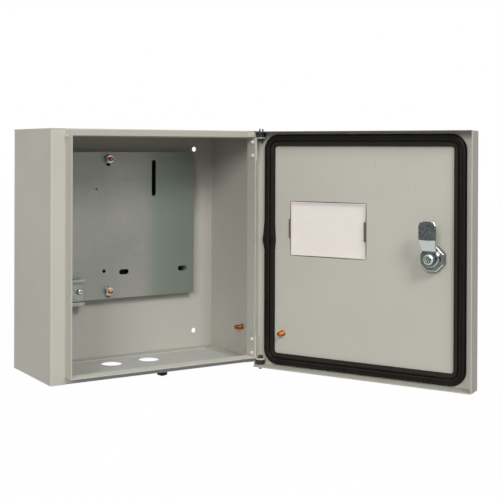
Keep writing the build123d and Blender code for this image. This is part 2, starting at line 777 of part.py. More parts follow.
os.makedirs("parts", exist_ok=True)
write("body_wrap", build_body_wrap())
write("top_panel", build_end_panel(1))
write("bottom_panel", build_end_panel(-1))
write("mounting_plate", build_mounting_plate())
write("plate_studs", build_plate_studs())
write("plate_rear_nuts", build_plate_rear_nuts())
write("plate_washers", build_plate_washers())
write("plate_nuts", build_plate_nuts())
write("din_rail", build_din_rail())
write("rail_screws", build_rail_screws())
write("earth_stud_wall", build_earth_stud_wall())
write("outer_earth_stud", build_outer_earth_stud())
write("outer_earth_washer", build_outer_earth_washer())
write("outer_earth_nut", build_outer_earth_nut())
write("hinge_bracket_upper", build_hinge_bracket(1))
write("hinge_bracket_lower", build_hinge_bracket(-1))
write("bracket_rivets", build_bracket_rivets())
write("hinge_spacer_upper", build_hinge_spacer(1))
write("hinge_spacer_lower", build_hinge_spacer(-1))
upper_seat = upper_ear_z - bracket_thickness
lower_seat = door_bottom - running_gap
write("hinge_pin_upper", build_hinge_pin(upper_seat, door_top, upper_prong_turn))
write("hinge_pin_lower", build_hinge_pin(lower_seat, lower_ear_z + bracket_thickness, lower_prong_turn))
write("door_panel", build_door_panel())
write("door_gasket", build_door_gasket())
write("window_pane", build_window_pane())
write("window_clips", build_window_clips())
write("lock_housing", build_lock_housing())
write("lock_nut", build_lock_nut())
write("earth_stud_door", build_earth_stud_door())
write("lock_barrel", build_lock_barrel())
write("lock_cam", build_lock_cam())
write("cam_screw", build_cam_screw())
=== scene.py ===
import logging
import math
from dataclasses import dataclass, field
from enum import Enum
from typing import Any, Sequence

import bmesh
import bpy
from mathutils import Matrix, Vector


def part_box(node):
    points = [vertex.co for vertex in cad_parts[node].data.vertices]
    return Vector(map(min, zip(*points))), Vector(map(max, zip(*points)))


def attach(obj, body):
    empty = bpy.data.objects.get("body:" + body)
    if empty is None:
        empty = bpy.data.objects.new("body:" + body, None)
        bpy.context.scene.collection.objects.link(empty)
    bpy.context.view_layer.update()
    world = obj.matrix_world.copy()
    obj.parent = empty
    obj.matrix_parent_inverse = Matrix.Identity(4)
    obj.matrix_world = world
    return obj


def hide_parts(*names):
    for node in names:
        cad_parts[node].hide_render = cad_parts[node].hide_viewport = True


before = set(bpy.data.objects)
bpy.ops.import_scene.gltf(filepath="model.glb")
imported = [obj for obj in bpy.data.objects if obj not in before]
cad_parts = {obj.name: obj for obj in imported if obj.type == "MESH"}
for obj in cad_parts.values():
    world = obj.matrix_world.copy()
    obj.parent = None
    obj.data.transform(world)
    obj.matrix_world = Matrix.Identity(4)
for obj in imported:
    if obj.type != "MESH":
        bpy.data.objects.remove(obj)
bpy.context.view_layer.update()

logging.basicConfig(level=logging.INFO, format="%(name)s: %(message)s")
log = logging.getLogger("distribution_box")

Colour = tuple[float, float, float]
Direction = tuple[float, float, float]
Inputs = dict[int | str, Any]
Loop = list[bmesh.types.BMVert]

RIGHT: Direction = (1.0, 0.0, 0.0)
BACK: Direction = (0.0, 1.0, 0.0)
FRONT: Direction = (0.0, -1.0, 0.0)
UP: Direction = (0.0, 0.0, 1.0)

# On the open door: from its hinge to its free edge, and the way that its inner face looks.
ACROSS: Direction = (0.46175, -0.88701, 0.0)
INWARD: Direction = (-0.88701, -0.46175, 0.0)


def srgb(red: int, green: int, blue: int) -> Colour:
    """Turns a colour written in 0 to 255 steps into the shader's linear values.

    Args:
        red: Red step.
        green: Green step.
        blue: Blue step.

    Returns:
        The three linear values.
    """
    def lift(step: int) -> float:
        """One linear value."""
        part = step / 255
        return part / 12.92 if part <= 0.04045 else ((part + 0.055) / 1.055) ** 2.4

    return lift(red), lift(green), lift(blue)


def reach(point: Sequence[float], direction: Sequence[float]) -> float:
    """Distance of a known point along a direction."""
    return sum(a * b for a, b in zip(point, direction))


class Wire:
    """One output of a node, on which sums are written as Python expressions."""

    def __init__(self, graph: "Graph", socket: bpy.types.NodeSocket) -> None:
        """Keeps the graph and the socket."""
        self.graph = graph
        self.socket = socket

    def _sum(self, operation: str, *values: Any, clamp: bool = False) -> "Wire":
        """Adds a Math node.

        Args:
            operation: The node's operation.
            values: Its inputs, numbers or wires.
            clamp: Whether the result is held between 0 and 1.

        Returns:
            The node's result.
        """
        settings = {"operation": operation, "use_clamp": clamp}
        return self.graph.add("ShaderNodeMath", settings, dict(enumerate(values))).out()

    def __add__(self, other: Any) -> "Wire":
        """Sum."""
        return self._sum("ADD", self, other)

    def __radd__(self, other: Any) -> "Wire":
        """Sum, reflected."""
        return self._sum("ADD", other, self)

    def __sub__(self, other: Any) -> "Wire":
        """Difference."""
        return self._sum("SUBTRACT", self, other)

    def __rsub__(self, other: Any) -> "Wire":
        """Difference, reflected."""
        return self._sum("SUBTRACT", other, self)

    def __mul__(self, other: Any) -> "Wire":
        """Product."""
        return self._sum("MULTIPLY", self, other)

    def __rmul__(self, other: Any) -> "Wire":
        """Product, reflected."""
        return self._sum("MULTIPLY", other, self)

    def __truediv__(self, other: Any) -> "Wire":
        """Quotient."""
        return self._sum("DIVIDE", self, other)

    def __pow__(self, other: Any) -> "Wire":
        """Power."""
        return self._sum("POWER", self, other)

    def __gt__(self, other: Any) -> "Wire":
        """One where this is larger."""
        return self._sum("GREATER_THAN", self, other)

    def __lt__(self, other: Any) -> "Wire":
        """One where this is smaller."""
        return self._sum("LESS_THAN", self, other)

    def between(self, low: float, high: float) -> "Wire":
        """One where this lies between two numbers."""
        return (self > low) * (self < high)

    def held(self) -> "Wire":
        """The same value, held between 0 and 1."""
        return self._sum("ADD", self, 0.0, clamp=True)

    def absolute(self) -> "Wire":
        """The value without its sign."""
        return self._sum("ABSOLUTE", self)

    def _with_vector(self, operation: str, vector: Sequence[float]) -> "Wire":
        """Adds a Vector Math node whose result is a number.

        Args:
            operation: The node's operation.
            vector: Its second input.

        Returns:
            The number.
        """
        settings = {"operation": operation}
        return self.graph.add("ShaderNodeVectorMath", settings, {0: self, 1: tuple(vector)}).out("Value")

    def along(self, direction: Sequence[float]) -> "Wire":
        """Length of a vector along a direction that is one metre long."""
        return self._with_vector("DOT_PRODUCT", direction)

    def distance(self, point: Sequence[float]) -> "Wire":
        """Distance of a place from a point."""
        return self._with_vector("DISTANCE", point)

    def wave(self, period: float) -> "Wire":
        """A sine of the value, from 0 to 1, that repeats after a period."""
        return self._sum("SINE", self * (2 * math.pi / period)) * 0.5 + 0.5

    def spread(self, low: float, high: float) -> "Wire":
        """Stretches the range from low to high over 0 to 1, and holds it there."""
        return ((self - low) / (high - low)).held()


class Added:
    """A node that was added, with a short way to its outputs."""

    def __init__(self, graph: "Graph", node: bpy.types.Node) -> None:
        """Keeps the graph and the node."""
        self.graph = graph
        self.node = node

    def out(self, key: int | str = 0) -> Wire:
        """One of the node's outputs."""
        return Wire(self.graph, self.node.outputs[key])


class Graph:
    """The nodes of one material or of the world."""

    def __init__(self, tree: bpy.types.NodeTree) -> None:
        """Empties the tree and keeps it."""
        self.tree = tree
        tree.nodes.clear()

    def add(self, kind: str, settings: dict[str, Any] | None = None, inputs: Inputs | None = None) -> Added:
        """Adds any node.

        Args:
            kind: The node's type.
            settings: Its properties, set first.
            inputs: Values or wires for its sockets.

        Returns:
            The added node.
        """
        node = self.tree.nodes.new(kind)
        for key, value in (settings or {}).items():
            setattr(node, key, value)
        for key, value in (inputs or {}).items():
            if isinstance(value, Wire):
                self.tree.links.new(value.socket, node.inputs[key])
            else:
                node.inputs[key].default_value = value
        return Added(self, node)

    def place(self) -> Wire:
        """The point on the surface, in metres in the object's frame."""
        return self.add("ShaderNodeTexCoord").out("Object")

    def at(self, direction: Sequence[float]) -> Wire:
        """How far the point on the surface lies along a direction."""
        return self.place().along(direction)

    def facing(self, direction: Sequence[float]) -> Wire:
        """How squarely the surface faces a direction, 1 where it does so fully."""
        return self.add("ShaderNodeTexCoord").out("Normal").along(direction)

    def noise(self, scale: float, detail: float = 2.0, roughness: float = 0.5) -> Wire:
        """Soft noise from 0 to 1.

        Args:
            scale: Lumps to a metre.
            detail: Octaves.
            roughness: Share of the finer octaves.

        Returns:
            The noise value.
        """
        inputs = {"Vector": self.place(), "Scale": scale, "Detail": detail, "Roughness": roughness}
        return self.add("ShaderNodeTexNoise", None, inputs).out()

    def blend(self, share: Wire | float, first: Any, second: Any) -> Wire:
        """Mixes two colours.

        Args:
            share: How much of the second.
            first: Colour or wire at 0.
            second: Colour or wire at 1.

        Returns:
            The mixed colour.
        """
        def whole(colour: Any) -> Any:
            """Adds the fourth value that a colour socket needs."""
            return colour if isinstance(colour, Wire) else (*colour, 1)

        settings = {"data_type": "RGBA", "clamp_factor": True}
        return self.add("ShaderNodeMix", settings, {0: share, 6: whole(first), 7: whole(second)}).out(2)

    def bump(self, height: Wire, distance: float, strength: float = 1.0) -> Wire:
        """Turns heights into a surface direction.

        Args:
            height: Height from 0 to 1.
            distance: Metres that 1 stands for.
            strength: Share of the effect.

        Returns:
            The bent surface direction.
        """
        inputs = {"Height": height, "Distance": distance, "Strength": strength}
        return self.add("ShaderNodeBump", None, inputs).out()


Patches = list[tuple[Wire, Any]]


@dataclass(frozen=True)
class Clouds:
    """A slow change over a surface, and the part of the noise that it uses."""

    scale: float
    ends: tuple[float, float] | None = None
    detail: float = 3.0

    def read(self, graph: Graph) -> Wire:
        """The change, from 0 to 1."""
        noise = graph.noise(self.scale, self.detail)
        return noise.spread(*self.ends) if self.ends else noise


@dataclass(frozen=True)
class Grain:
    """The fine unevenness of a surface."""

    scale: float
    depth: float = 0.00002
    strength: float = 0.5
    detail: float = 2.0

    def read(self, graph: Graph) -> Wire:
        """Surface direction, bent by the grain."""
        return graph.bump(graph.noise(self.scale, self.detail), self.depth, self.strength)


@dataclass(frozen=True)
class Finish:
    """A finish that any surface can take: two clouded colours with patches of others over them."""

    name: str
    colour: Colour
    shade: Colour
    roughness: float
    metallic: float = 0.0
    dulling: float = 0.1
    clouds: Clouds = Clouds(240.0, detail=2.0)
    grain: Grain = Grain(900.0, 0.00003, 0.4, 1.0)

    def make(self) -> bpy.types.Material:
        """Makes the material.

        Returns:
            The new material.
        """
        material = bpy.data.materials.new(self.name)
        material.use_nodes = True
        graph = Graph(material.node_tree)
        shader = graph.add("ShaderNodeBsdfPrincipled", None, self.inputs(graph))
        graph.add("ShaderNodeOutputMaterial", None, {"Surface": shader.out()})
        return material

    def inputs(self, graph: Graph) -> Inputs:
        """Draws what feeds the shader.

        Args:
            graph: The material's graph.

        Returns:
            Values or wires for the shader's sockets.
        """
        clouds = self.clouds.read(graph)
        return {
            "Base Color": self.base(graph, clouds),
            "Metallic": self.metallic,
            "Roughness": self.roughness + self.dulling * clouds,
            "Normal": self.relief(graph),
        }

    def base(self, graph: Graph, share: Wire) -> Wire:
        """Colour of the surface.

        Args:
            graph: The material's graph.
            share: How much of the shade, from 0 to 1.

        Returns:
            The colour, with the patches over it.
        """
        colour = graph.blend(share, self.colour, self.shade)
        for mask, patch in self.patches(graph):
            colour = graph.blend(mask, colour, patch)
        return colour

    def patches(self, graph: Graph) -> Patches:
        """Places with a colour of their own, as pairs of mask and colour, each over those before it."""
        return []

    def relief(self, graph: Graph) -> Wire:
        """Surface direction."""
        return self.grain.read(graph)


@dataclass(frozen=True)
class PowderCoat(Finish):
    """Satin powder coat with a fine orange peel, slight clouding and sparse specks."""

    name: str = "powder_coat"
    colour: Colour = srgb(198, 196, 184)
    shade: Colour = srgb(192, 190, 178)
    roughness: float = 0.42
    dulling: float = 0.06
    grain_dulling: float = 0.05
    specular: float = 0.4
    clouds: Clouds = Clouds(7.0, (0.35, 0.7))
    peel_scale: float = 620.0
    peel_detail: float = 1.5
    peel_roughness: float = 0.4
    peel_share: float = 0.8
    grain: Grain = Grain(2600.0, 0.00005, 0.6, 1.0)
    speck: Colour = srgb(128, 124, 112)
    speck_scale: float = 230.0
    speck_level: float = 0.83
    speck_share: float = 0.12

    def inputs(self, graph: Graph) -> Inputs:
        """Draws what feeds the shader.

        Args:
            graph: The material's graph.

        Returns:
            Values or wires for the shader's sockets.
        """
        clouds = self.clouds.read(graph)
        peel = graph.noise(self.peel_scale, self.peel_detail, self.peel_roughness)
        grain = graph.noise(self.grain.scale, self.grain.detail)
        height = peel * self.peel_share + grain * (1 - self.peel_share)
        return {
            "Base Color": self.base(graph, clouds),
            "Roughness": self.roughness + self.dulling * clouds + self.grain_dulling * grain,
            "Specular IOR Level": self.specular,
            "Normal": graph.bump(height, self.grain.depth, self.grain.strength),
        }

    def patches(self, graph: Graph) -> Patches:
        """Sparse darker specks."""
        specks = graph.noise(self.speck_scale, 0.0) > self.speck_level
        return [(specks * self.speck_share, self.speck)]


@dataclass(frozen=True)
class BodyCoat(PowderCoat):
    """Powder coat of the body, with painted shade inside the box and a painted shadow behind the mounting
    plate.
    """

    name: str = "body_powder_coat"
    # Painted shadow: near-black colour on the back wall behind the mounting plate.
    plate_shadow: Colour = srgb(44, 43, 40)
    plate_middle: tuple[float, float] = (0.0, 0.0267)
    plate_half: tuple[float, float] = (0.1085, 0.096)
    edge: float = 0.009
    back_face: float = -0.002
    square: float = 0.9
    # Painted shade: the inside of the box is drawn a little darker than the outside.
    inside: Colour = srgb(189, 187, 178)
    inside_across: float = 0.1493
    inside_depth: tuple[float, float] = (-0.124, -0.0006)

    def patches(self, graph: Graph) -> Patches:
        """Adds the painted shade inside and the painted shadow behind the plate.

        Args:
            graph: The material's graph.

        Returns:
            Pairs of mask and colour.
        """
        inside = graph.at(BACK).between(*self.inside_depth)
        inside = inside * (graph.at(RIGHT).absolute() < self.inside_across)
        behind = (graph.at(BACK) > self.back_face) * (graph.facing(FRONT) > self.square)
        for direction, middle, half in zip((RIGHT, UP), self.plate_middle, self.plate_half):
            behind = behind * (graph.at(direction) - middle).absolute().spread(half, half - self.edge)
        return [*super().patches(graph), (inside, self.inside), (behind, self.plate_shadow)]


@dataclass(frozen=True)
class FloorCoat(PowderCoat):
    """Powder coat of the bottom panel, with painted light on the rim in front of its floor."""

    name: str = "floor_powder_coat"
    colour: Colour = srgb(201, 202, 197)
    shade: Colour = srgb(196, 197, 191)
    # Painted light: lighter colour on the upward-facing rim in front of the floor.
    rim: Colour = srgb(226, 223, 212)
    rim_behind: float = -0.1245
    level: float = 0.7

    def patches(self, graph: Graph) -> Patches:
        """Adds the painted light on the rim."""
        on_rim = (graph.at(BACK) < self.rim_behind) * (graph.facing(UP) > self.level)
        return [*super().patches(graph), (on_rim, self.rim)]


@dataclass(frozen=True)
class ShadedStripCoat(PowderCoat):
    """Powder coat of the top panel, with painted shade on its front strip."""

    name: str = "top_powder_coat"
    # Painted shade: darker colour on the front strip of the top panel.
    strip: Colour = srgb(177, 175, 165)
    square: float = 0.9

    def patches(self, graph: Graph) -> Patches:
        """Adds the painted shade on the front strip."""
        return [*super().patches(graph), (graph.facing(FRONT) > self.square, self.strip)]


@dataclass(frozen=True)
class DoorCoat(PowderCoat):
    """Powder coat of the door, with painted shade on its free rim and on the cut edge along the top."""

    name: str = "door_powder_coat"
    # Painted shade: dark colour on the inward-facing cut edge along the top.
    top_edge_shade: Colour = srgb(88, 89, 82)
    edge_height: float = 0.1524
    edge_level: float = 0.7
    # Painted shade: darker colour on the faces of the free rim that face away from the hinge.
    rim: Colour = srgb(172, 166, 156)
    rim_level: float = 0.8
    free_side: float = 0.34

    def patches(self, graph: Graph) -> Patches:
        """Adds the painted shade on the free rim and on the top edge.

        Args:
            graph: The material's graph.

        Returns:
            Pairs of mask and colour.
        """
        on_edge = (graph.at(UP) > self.edge_height) * (graph.facing(INWARD) > self.edge_level)
        on_rim = (graph.facing(ACROSS) > self.rim_level) * (graph.at(ACROSS) > self.free_side)
        return [*super().patches(graph), (on_rim, self.rim), (on_edge, self.top_edge_shade)]


@dataclass(frozen=True)
class Galvanised(Finish):
    """Dull zinc-dipped sheet, rolled smooth, with faint cloudy patches and a painted reflection that makes
    the right part darker and greener.
    """

    name: str = "galvanised_sheet"
    colour: Colour = srgb(172, 171, 164)
    shade: Colour = srgb(146, 148, 141)
    roughness: float = 0.38
    metallic: float = 0.5
    dulling: float = 0.08
    clouds: Clouds = Clouds(14.0, (0.3, 0.7))
    mottle_scale: float = 260.0
    grain: Grain = Grain(1300.0, 0.00003)
    # Painted reflection: darker, greener colour over the right part of the plate.
    dark_reflection: Colour = srgb(131, 144, 132)
    reflection_ends: tuple[float, float] = (0.038, 0.062)
    reflection_share: float = 0.8
    wander: float = 0.012
    wander_scale: float = 9.0

    def inputs(self, graph: Graph) -> Inputs:
        """Draws what feeds the shader.

        Args:
            graph: The material's graph.

        Returns:
            Values or wires for the shader's sockets.
        """
        mottle = graph.noise(self.mottle_scale)
        brushed = graph.noise(self.grain.scale)
        return {
            "Base Color": self.base(graph, self.clouds.read(graph) * 0.5 + mottle * 0.5),
            "Metallic": self.metallic,
            "Roughness": self.roughness + self.dulling * mottle,
            "Normal": graph.bump(brushed * 0.5 + mottle * 0.5, self.grain.depth, self.grain.strength),
        }

    def patches(self, graph: Graph) -> Patches:
        """Adds the painted reflection over the right part."""
        across = graph.at(RIGHT) + self.wander * graph.noise(self.wander_scale)
        return [(across.spread(*self.reflection_ends) * self.reflection_share, self.dark_reflection)]


@dataclass(frozen=True)
class PlatedMetal(Finish):
    """Plated metal with slight clouding."""

    roughness: float = 0.2
    metallic: float = 1.0
    dulling: float = 0.12
    clouds: Clouds = Clouds(160.0, (0.3, 0.75))
    grain: Grain = Grain(1900.0)


@dataclass(frozen=True)
class ThreadPlating(PlatedMetal):
    """Plated metal with a fine thread cut round its sleeve, and a painted highlight near its end."""

    name: str = "lock_plating"
    colour: Colour = srgb(226, 226, 220)
    shade: Colour = srgb(176, 174, 170)
    roughness: float = 0.16
    metallic: float = 0.5
    pitch: float = 0.0015
    depth: float = 0.0004
    sleeve_level: float = 0.3
    # Painted highlight: a white spot on the sleeve near its end.
    glint_colour: Colour = srgb(255, 255, 255)
    glint_at: tuple[float, float, float] = (0.24860, -0.36152, 0.0053)
    glint_radii: tuple[float, float] = (0.0046, 0.0023)

    def patches(self, graph: Graph) -> Patches:
        """Adds the painted highlight spot."""
        return [(graph.place().distance(self.glint_at).spread(*self.glint_radii), self.glint_colour)]

    def relief(self, graph: Graph) -> Wire:
        """Surface direction, bent by the thread on the sleeve."""
        on_sleeve = graph.facing(INWARD).absolute() < self.sleeve_level
        return graph.bump(graph.at(INWARD).wave(self.pitch) * on_sleeve, self.depth)


@dataclass(frozen=True)
class BevelledPlating(PlatedMetal):
    """Plated nut with painted highlights on its bevels and in one spot on its face, and painted shade in a
    gap.
    """

    name: str = "bevelled_plating"
    colour: Colour = srgb(124, 132, 126)
    shade: Colour = srgb(92, 100, 96)
    metallic: float = 0.3
    # Painted highlight: near-white colour on the bevels and on one spot of the face.
    bevel_highlight: Colour = srgb(255, 255, 250)
    bevel_levels: tuple[float, float] = (0.3, 0.96)
    bevel_across: float = 0.6
    glint_at: tuple[float, float, float] = (0.24952, -0.36114, 0.00581)
    glint_radii: tuple[float, float] = (0.0036, 0.00216)
    # Painted shade: near-black colour where the gap between sleeve and nut lies in shadow.
    gap_shade: Colour = srgb(12, 12, 12)
    gap_at: tuple[float, float, float] = (0.25080, -0.36359, -0.0010)
    gap_half: tuple[float, float] = (0.0014, 0.0031)

    def patches(self, graph: Graph) -> Patches:
        """Adds the painted highlight spot, the painted shade in the gap and the painted highlights on the
        bevels.

        Args:
            graph: The material's graph.

        Returns:
            Pairs of mask and colour.
        """
        level = graph.facing(INWARD).absolute()
        on_bevel = level.between(*self.bevel_levels) * (graph.facing(ACROSS) < self.bevel_across)
        glint_mask = graph.place().distance(self.glint_at).spread(*self.glint_radii)
        beside = (graph.at(ACROSS) - reach(self.gap_at, ACROSS)).absolute()
        above = (graph.at(UP) - self.gap_at[2]).absolute()
        in_gap = (beside < self.gap_half[0]) * (above < self.gap_half[1]) * (level > self.bevel_levels[1])
        return [(glint_mask, self.bevel_highlight), (in_gap, self.gap_shade), (on_bevel, self.bevel_highlight)]


@dataclass(frozen=True)
class SideShadedPlating(PlatedMetal):
    """Plated metal with painted shade on faces that turn away from the front, while its front stays bright.
    """

    # Painted shade: dark colour on every face that does not face front or back.
    edge: Colour = srgb(70, 76, 74)
    edge_level: float = 0.5

    def patches(self, graph: Graph) -> Patches:
        """Adds the painted shade on the sides."""
        return [(graph.facing(FRONT).absolute() < self.edge_level, self.edge)]


@dataclass(frozen=True)
class RecessedPlating(PlatedMetal):
    """Plated screw with painted shade, spotted, over the middle of its head round the cross recess, while its
    rim stays bright.
    """

    name: str = "screw_plating"
    colour: Colour = srgb(238, 244, 240)
    shade: Colour = srgb(196, 206, 202)
    # Painted shade: darker, spotted colours over the middle of the head.
    recess: Colour = srgb(166, 184, 168)
    deep_shade: Colour = srgb(96, 112, 98)
    middle: Sequence[float] = (0.0, 0.0, 0.0)
    recess_radius: float = 0.0048
    wander: float = 0.0012
    wander_scale: float = 420.0
    spots: Clouds = Clouds(620.0, (0.42, 0.6), 2.0)

    def patches(self, graph: Graph) -> Patches:
        """Adds the painted shade over the recess, spotted and with an uneven edge.

        Args:
            graph: The material's graph.

        Returns:
            Pairs of mask and colour.
        """
        side = Vector(INWARD).cross(Vector(UP))
        beside = graph.at(side) - reach(self.middle, side)
        above = graph.at(UP) - self.middle[2]
        away = (beside * beside + above * above) ** 0.5 + self.wander * (graph.noise(self.wander_scale) - 0.5)
        return [(away < self.recess_radius, graph.blend(self.spots.read(graph), self.recess, self.deep_shade))]


@dataclass(frozen=True)
class Passivated(PlatedMetal):
    """Blue-passivated blade, with painted highlights on its joggle and on the corners above it."""

    name: str = "blue_passivated"
    colour: Colour = srgb(106, 113, 115)
    shade: Colour = srgb(72, 77, 80)
    roughness: float = 0.26
    dulling: float = 0.1
    clouds: Clouds = Clouds(300.0, (0.4, 0.65))
    grain: Grain = Grain(1700.0)
    pivot: tuple[float, float, float] = (0.250204, -0.352278, -0.0012)
    # Painted highlight: lighter colour on the joggle.
    bend_highlight: Colour = srgb(216, 224, 216)
    bend_ends: tuple[float, float] = (0.0102, 0.0234)
    # Painted highlight: near-white colour on the tip's corner facets.
    corner: Colour = srgb(250, 252, 248)
    corner_levels: tuple[float, float] = (0.35, 0.96)
    tip_half: float = 0.0052

    def patches(self, graph: Graph) -> Patches:
        """Adds the painted highlights on the corners and on the joggle.

        Args:
            graph: The material's graph.

        Returns:
            Pairs of mask and colour.
        """
        height = graph.at(UP) - self.pivot[2]
        beside = (graph.at(ACROSS) - reach(self.pivot, ACROSS)).absolute()
        level = graph.facing(INWARD).absolute()
        beyond = (height > self.bend_ends[1]) * (beside > self.tip_half)
        on_corner = level.between(*self.corner_levels) * beyond
        return [(on_corner, self.corner), (height.between(*self.bend_ends), self.bend_highlight)]


@dataclass(frozen=True)
class Rubber(Finish):
    """Near-black foam rubber with a soft sheen, and painted light on its lip except beside the hinges."""

    name: str = "gasket_rubber"
    colour: Colour = srgb(25, 22, 20)
    shade: Colour = srgb(36, 32, 29)
    roughness: float = 0.26
    specular: float = 0.12
    clouds: Clouds = Clouds(45.0, (0.45, 0.8), 4.0)
    grain: Grain = Grain(1500.0, 0.00003, 0.4)
    # Painted light: paler colour on the flat face of the lip.
    lip: Colour = srgb(43, 39, 35)
    lip_depth: float = -0.0022
    lip_half: float = 0.0004
    square: float = 0.9
    hinge: tuple[float, float] = (0.141, -0.1425)
    unlit_below: float = 0.125
    unlit_within: float = 0.03

    def inputs(self, graph: Graph) -> Inputs:
        """Draws what feeds the shader.

        Args:
            graph: The material's graph.

        Returns:
            Values or wires for the shader's sockets.
        """
        pores = graph.noise(self.grain.scale, self.grain.detail)
        return {
            "Base Color": self.base(graph, self.clouds.read(graph)),
            "Roughness": self.roughness + self.dulling * pores,
            "Specular IOR Level": self.specular,
            "Normal": graph.bump(pores, self.grain.depth, self.grain.strength),
        }

    def patches(self, graph: Graph) -> Patches:
        """Adds the painted light on the lip.

        Args:
            graph: The material's graph.

        Returns:
            Pairs of mask and colour.
        """
        depth = graph.at(INWARD) - (reach(self.hinge, INWARD) + self.lip_depth)
        on_lip = (depth.absolute() < self.lip_half) * (graph.facing(INWARD) > self.square)
        out = graph.at(ACROSS) - reach(self.hinge, ACROSS)
        unlit = (graph.at(UP) < self.unlit_below) * (out < self.unlit_within)
        return [(on_lip, graph.blend(unlit, self.lip, self.shade))]


@dataclass(frozen=True)
class ClearPlastic(Finish):
    """Clear moulded pane with a faint haze."""

    name: str = "clear_pane"
    colour: Colour = srgb(238, 226, 216)
    shade: Colour = srgb(244, 234, 226)
    roughness: float = 0.12
    clouds: Clouds = Clouds(30.0)
    grain: Grain = Grain(20.0, 0.0001, 0.2, 1.0)
    alpha: float = 0.46
    haze: float = 0.08

    def inputs(self, graph: Graph) -> Inputs:
        """What feeds the shader, with the part that is seen through."""
        return super().inputs(graph) | {"Alpha": self.alpha + self.haze * self.clouds.read(graph)}


class Metal(Enum):
    """The finishes that metal parts come in."""

    COPPER = PlatedMetal(
        "copper_coat", srgb(210, 122, 62), srgb(124, 62, 26), 0.3, 0.85, 0.2,
        Clouds(420.0, (0.35, 0.7)), Grain(2600.0, strength=0.4),
    )
    LOCK = ThreadPlating()
    # Painted shade: the barrel is near-black so that the notch in the sleeve reads as shade.
    CORE = PlatedMetal("core_plating", srgb(34, 34, 32), srgb(20, 20, 19), 0.5)
    RAIL = SideShadedPlating(
        "rail_plating", srgb(178, 182, 176), srgb(150, 156, 150), 0.3, 0.6, edge=srgb(60, 66, 64)
    )
    BRIGHT = SideShadedPlating("bright_zinc", srgb(238, 246, 242), srgb(206, 216, 212), 0.2, 0.6)
    NUT = BevelledPlating()
    # Painted shade: near-black zinc for the stud, washer and nut that hang in the shadow under the box.
    SHADED = PlatedMetal("shadow_dark_zinc", srgb(58, 58, 52), srgb(34, 34, 30), 0.45)
    SHEET = Galvanised()
    BLADE = Passivated()


class Paint(Enum):
    """The coats of paint."""

    PLAIN = PowderCoat()
    BODY = BodyCoat()
    TOP = ShadedStripCoat()
    FLOOR = FloorCoat()
    DOOR = DoorCoat()
    RIVET = PowderCoat("rivet_paint", srgb(222, 220, 212), srgb(208, 206, 196), 0.36)


class Moulded(Enum):
    """The plastics and the rubber, from matt to glossy."""

    BLACK = Finish("black_plastic", srgb(26, 27, 26), srgb(36, 38, 36), 0.22)
    CATCH = Finish("catch_plastic", srgb(92, 82, 68), srgb(112, 101, 84), 0.35)
    # Painted shadow: dark bead standing for the shadowed gap at the pane's edge.
    SHADOW_LINE = Finish("window_shadow_line", srgb(72, 60, 50), srgb(94, 81, 69), 0.5)
    PANE = ClearPlastic()
    GASKET = Rubber()


def stood(start: Vector, direction: Vector) -> Matrix:
    """What turns a form's own frame, with its axis along Z, into the object's frame."""
    return Matrix.Translation(start) @ direction.to_track_quat("Z", "Y").to_matrix().to_4x4()


def ring(mesh: bmesh.types.BMesh, stand: Matrix, places: Sequence[tuple[float, float]]) -> Loop:
    """Adds one ring of points round a form's axis.

    Args:
        mesh: The mesh that gets the points.
        stand: What turns the form's own frame into the object's.
        places: Distance from the axis and height along it, point by point.

    Returns:
        The ring's points in order.
    """
    loop = []
    for i, (radius, height) in enumerate(places):
        angle = 2 * math.pi * (i / len(places))
        point = Vector((radius * math.cos(angle), radius * math.sin(angle), height))
        loop.append(mesh.verts.new(stand @ point))
    return loop


def skin(mesh: bmesh.types.BMesh, loops: Sequence[Loop]) -> None:
    """Spans faces from each loop of points to the next.

    Args:
        mesh: The mesh that gets the faces.
        loops: The loops, with as many points each.
    """
    for near, far in zip(loops, loops[1:]):
        for i in range(len(near)):
            j = (i + 1) % len(near)
            mesh.faces.new((near[i], near[j], far[j], far[i]))


@dataclass(frozen=True)
class ThreadedStud:
    """A weld stud with a real screw thread, which stands for a plain CAD bar."""

    start: Vector
    direction: Vector
    length: float
    radius: float = 0.003
    pitch: float = 0.001
    flank: float = 2.3
    cut: float = 0.6
    taper: float = 0.9
    foot: tuple[tuple[float, float], ...] = ((0.0038, 0.0), (0.0038, 0.00056), (0.003534, 0.0008))
    around: int = 28
    steps: int = 8

    def profile(self, along: float, turn: float) -> float:
        """Radius of the thread.

        Args:
            along: Metres from the foot.
            turn: Share of a turn round the axis.

        Returns:
            The radius there.
        """
        phase = (along / self.pitch + turn) % 1
        tooth = min(1.0, self.flank * abs(phase - 0.5))
        depth = self.cut * self.pitch * (1 - tooth)
        tip = max(0.0, along - (self.length - self.pitch * self.taper)) * self.taper
        return self.radius - depth - tip

    def add_to(self, mesh: bmesh.types.BMesh) -> None:
        """Adds the stud to a mesh.

        Args:
            mesh: The mesh that gets the stud.
        """
        stand = stood(self.start, self.direction)
        turns = [step / self.around for step in range(self.around)]
        rings = [ring(mesh, stand, [place] * self.around) for place in self.foot]
        foot_height = self.foot[-1][1]
        threaded = self.length - foot_height
        count = int(threaded / self.pitch * self.steps)
        for k in range(count + 1):
            along = foot_height + threaded * k / count
            rings.append(ring(mesh, stand, [(self.profile(along, turn), along) for turn in turns]))
        skin(mesh, rings)
        mesh.faces.new(rings[0][::-1])
        mesh.faces.new(rings[-1])


